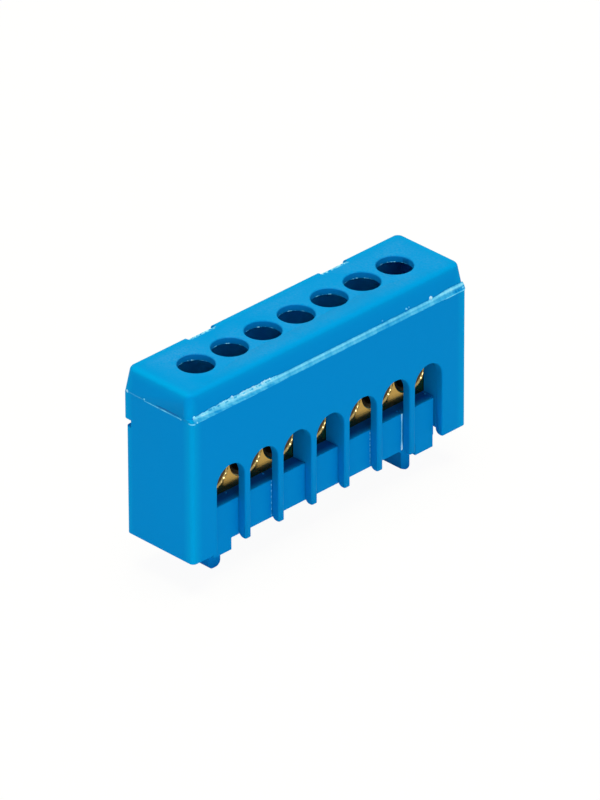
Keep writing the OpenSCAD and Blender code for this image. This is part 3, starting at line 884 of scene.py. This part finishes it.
class BLOCK_OT_burrs(bpy.types.Operator):
    """Makes the burrs in the screwdriver holes, the film in the slit and the flash along two ribs"""
    bl_idname = "block.burrs"
    bl_label = "Burrs"

    def execute(self, context):
        block = context.scene.terminal_block
        settings = block.flash
        material = stretched_polyamide_flash(settings, block.moulding.plastic)
        rims = [self.rim(settings, x, seed) for seed, x in enumerate(SCREW_X)]
        flash_piece("hole_burrs", rims, material)
        lines = [self.film(settings), self.rib_line(settings, SCREW_X[1], 21),
                 self.rib_line(settings, SCREW_X[4], 22)]
        flash_piece("rib_flash", lines, material)
        return {"FINISHED"}

    def rim(self, settings, x, seed):
        """Beaded strand round a hole, as far under its mount's place as the lid's top is over it: it swells
        into dots at the back and thins out between them."""
        turn = np.linspace(0, 2 * np.pi, RIM_POINTS)
        out = np.stack([np.cos(turn), np.sin(turn), 0 * turn], -1)
        z = MOUNTS["driver_access_1"]["pos_m"][2] * 2 - LID_HIGH.z
        path = np.array([x, 0, z]) + HOLE_R * out
        dots = np.clip(0.2 + ragged(9 * turn, 40 + seed, 4), 0, 1) * ridge(turn, math.radians(60), 0.9)
        width = settings.burr * (0.15 + dots)
        white = np.clip(0.1 + 0.6 * dots, 0, 1)
        return strand(path, out, UP, width, width), np.repeat(white, STRAND_SIDES)

    def upright(self, x, y, bottom, top, half_width, white):
        """Flat upright strand on the base's front."""
        path = np.stack([np.full_like(white, x), np.full_like(white, y),
                         np.linspace(bottom, top, len(white))], -1)
        grid = strand(path, np.array([1.0, 0, 0]), np.array([0, 1.0, 0]), half_width, 0.04 * MM)
        return grid, np.repeat(white, STRAND_SIDES)

    def film(self, settings):
        """Film of flash in the slit beside the springy foot, wide at its ends. Its paleness, whitest at its
        ends, is a painted highlight for the light that comes through the slit.
        """
        s = np.linspace(0, 1, FILM_POINTS)
        ends = ridge(s, 0.05, 0.14) + 0.5 * ridge(s, 0.92, 0.12)
        width = settings.slit_width / 2 * (0.6 + 0.6 * ends)
        # Painted highlight: the film is whitened most at its ends
        return self.upright(settings.slit_x, BASE_LOW.y + 0.02 * MM, 0.3 * MM, DECK_Z, width,
                            0.6 + 0.35 * ends)

    def rib_line(self, settings, x, seed):
        """Dotted line of flash where the base's front meets a rib."""
        s = np.linspace(0, 1, RIB_POINTS)
        dots = np.clip(0.5 + ragged(40 * s, seed), 0, 1)
        beside_rib = x + settings.slot_width / 2 - 0.08 * MM
        return self.upright(beside_rib, BASE_LOW.y - 0.02 * MM, 0.3 * MM, DECK_Z,
                            0.07 * MM * (0.2 + dots), 0.1 + 0.5 * dots * (0.5 + 0.5 * s))


class BLOCK_OT_crumbs(bpy.types.Operator):
    """Makes the crumbs of torn flash on the lid's front and the swarf on the deck"""
    bl_idname = "block.crumbs"
    bl_label = "Crumbs"

    def execute(self, context):
        block = context.scene.terminal_block
        material = stretched_polyamide_flash(block.flash, block.moulding.plastic)
        crumbs = []
        for seed, (x, t, radius, white) in enumerate(FRONT_CRUMBS):
            y, z, out_y, out_z = front_path(block.flash, np.array(t * MM))
            sunk = -0.3 * radius * MM
            centre = (x * MM, max(y + out_y * sunk, FRONT_Y + 1.2 * radius * MM), z + out_z * sunk)
            crumbs.append((crumb(centre, radius * MM, seed), white))
        for seed, (x, y, radius, white) in enumerate(DECK_CRUMBS):
            centre = (x * MM, y * MM, DECK_Z + 0.4 * radius * MM)
            crumbs.append((crumb(centre, radius * MM, 60 + seed), white))
        for seed, (y, rise, radius, white) in enumerate(END_CRUMBS):
            grid = crumb((0, y * MM, SEAM_Z + rise * MM), radius * MM, 80 + seed)
            grid[..., 0] = np.maximum(0.2 * grid[..., 0] + end_wall(block.flash, rise * MM), -END_X)
            crumbs.append((grid, white))
        parts = [(grid, np.full(grid[..., 0].size, white)) for grid, white in crumbs]
        flash_piece("flash_crumbs", parts, material)
        return {"FINISHED"}


class BLOCK_OT_stage(bpy.types.Operator):
    """Makes the floor, the lights and the camera"""
    bl_idname = "block.stage"
    bl_label = "Stage"

    def execute(self, context):
        scene = context.scene
        settings = scene.terminal_block.stage
        scene.view_settings.view_transform = "Standard"
        self.make_world(scene, settings)
        self.make_floor(scene, settings)
        for name, power, place, side, hex_colour in SOFTBOXES:
            self.make_softbox(scene, name, getattr(settings, power), place, side, hex_colour)
        self.make_camera(scene, settings)
        return {"FINISHED"}

    def seen_directly(self, tree):
        """1 for camera, glossy and transmission rays, else 0."""
        path = add_node(tree, "ShaderNodeLightPath")
        seen = path.outputs["Is Camera Ray"]
        for ray in ("Is Glossy Ray", "Is Transmission Ray"):
            larger = add_node(tree, "ShaderNodeMath", {"operation": "MAXIMUM"},
                              {0: seen, 1: path.outputs[ray]})
            seen = larger.outputs["Value"]
        return seen

    def make_world(self, scene, settings):
        """White to the eye, and an even light of the set strength on the object."""
        world = bpy.data.worlds.new("studio")
        world.use_nodes = True
        tree = world.node_tree
        tree.nodes.clear()
        out = add_node(tree, "ShaderNodeOutputWorld")
        light = add_node(tree, "ShaderNodeBackground", None,
                         {"Color": linear("#ffffff"), "Strength": settings.sky})
        white = add_node(tree, "ShaderNodeBackground", None,
                         {"Color": linear("#ffffff"), "Strength": 1.0})
        mix = add_node(tree, "ShaderNodeMixShader", None, {
            0: self.seen_directly(tree), 1: light.outputs["Background"], 2: white.outputs["Background"]})
        tree.links.new(mix.outputs["Shader"], out.inputs["Surface"])
        scene.world = world

    def make_floor(self, scene, settings):
        """White card that the block stands on: it throws light back up and keeps a faint shadow."""
        x, y = (a * HALF_CARD for a in np.meshgrid([-1.0, 1.0], [-1.0, 1.0], indexing="ij"))
        grid = np.stack([x, y, np.full_like(x, CAD_BOX[0][2])], -1)
        mesh = bpy.data.meshes.new("white_card")
        mesh.from_pydata(grid.reshape(-1, 3).tolist(), [], [[0, 2, 3, 1]])
        material, tree, out = new_material("white_card")
        card = add_node(tree, "ShaderNodeBsdfDiffuse", None, {"Color": linear("#f2f2f2")})
        glow = add_node(tree, "ShaderNodeEmission", None, {"Color": linear("#ffffff"), "Strength": 1.0})
        share = add_node(tree, "ShaderNodeMath", {"operation": "MULTIPLY"},
                         {0: self.seen_directly(tree), 1: settings.card_glow})
        mix = add_node(tree, "ShaderNodeMixShader", None, {
            0: share.outputs["Value"], 1: card.outputs["BSDF"], 2: glow.outputs["Emission"]})
        tree.links.new(mix.outputs["Shader"], out.inputs["Surface"])
        mesh.materials.append(material)
        floor = bpy.data.objects.new("white_card", mesh)
        scene.collection.objects.link(floor)

    def make_softbox(self, scene, name, power, place, side, hex_colour):
        """Square softbox that faces the block."""
        lamp = bpy.data.lights.new(name, "AREA")
        lamp.size = side
        lamp.energy = power
        lamp.color = linear(hex_colour)[:3]
        box = bpy.data.objects.new(name, lamp)
        box.location = place
        box.rotation_euler = Vector(place).to_track_quat("Z", "Y").to_euler()
        scene.collection.objects.link(box)

    def make_camera(self, scene, settings):
        """Camera on the photograph's line of sight, turned and moved a little in its own plane."""
        a, e, r = settings.azimuth, settings.elevation, settings.roll
        back = np.array([math.sin(a) * math.cos(e), -math.cos(a) * math.cos(e), math.sin(e)])
        level = np.array([math.cos(a), math.sin(a), 0.0])
        upright = np.cross(back, level)
        right = math.cos(r) * level + math.sin(r) * upright
        up = -math.sin(r) * level + math.cos(r) * upright
        place = back * settings.distance + right * settings.right + up * settings.up
        data = bpy.data.cameras.new("camera")
        data.sensor_width = SENSOR
        data.lens = settings.focal_pixels * SENSOR / IMAGE_SIDE
        camera = bpy.data.objects.new("camera", data)
        camera.matrix_world = Matrix.Translation(place) @ Matrix(np.stack([right, up, back], -1)).to_4x4()
        scene.collection.objects.link(camera)
        scene.camera = camera


class VIEW3D_PT_terminal_block(bpy.types.Panel):
    """Lists the operators of the pieces and the stage, and all the settings"""
    bl_label = "Terminal block"
    bl_idname = "VIEW3D_PT_terminal_block"
    bl_space_type = "VIEW_3D"
    bl_region_type = "UI"
    bl_category = "Terminal block"

    def draw(self, context):
        for operator in OPERATORS:
            self.layout.operator(operator.bl_idname)
        block = context.scene.terminal_block
        for group in type(block).__annotations__:
            box = self.layout.box()
            box.label(text=block.bl_rna.properties[group].name)
            settings = getattr(block, group)
            for setting in type(settings).__annotations__:
                box.prop(settings, setting)


SETTINGS = (MouldingSettings, FlashSettings, BarSettings, ScrewSettings, StageSettings, BlockSettings)
OPERATORS = (BLOCK_OT_mouldings, BLOCK_OT_brass_bar, BLOCK_OT_countersinks, BLOCK_OT_screws,
             BLOCK_OT_seam_flash, BLOCK_OT_burrs, BLOCK_OT_crumbs, BLOCK_OT_stage)


def register():
    """Registers the classes and hangs the settings on the scene."""
    for kind in (*SETTINGS, *OPERATORS, VIEW3D_PT_terminal_block):
        bpy.utils.register_class(kind)
    bpy.types.Scene.terminal_block = PointerProperty(type=BlockSettings)


def unregister():
    """Takes the settings and the classes away again."""
    del bpy.types.Scene.terminal_block
    for kind in reversed((*SETTINGS, *OPERATORS, VIEW3D_PT_terminal_block)):
        bpy.utils.unregister_class(kind)


def main():
    """Builds the block and its stage."""
    register()
    bpy.ops.block.mouldings()
    bpy.ops.block.brass_bar()
    bpy.ops.block.countersinks()
    bpy.ops.block.screws()
    bpy.ops.block.seam_flash()
    bpy.ops.block.burrs()
    bpy.ops.block.crumbs()
    bpy.ops.block.stage()


if __name__ == "__main__":
    main()
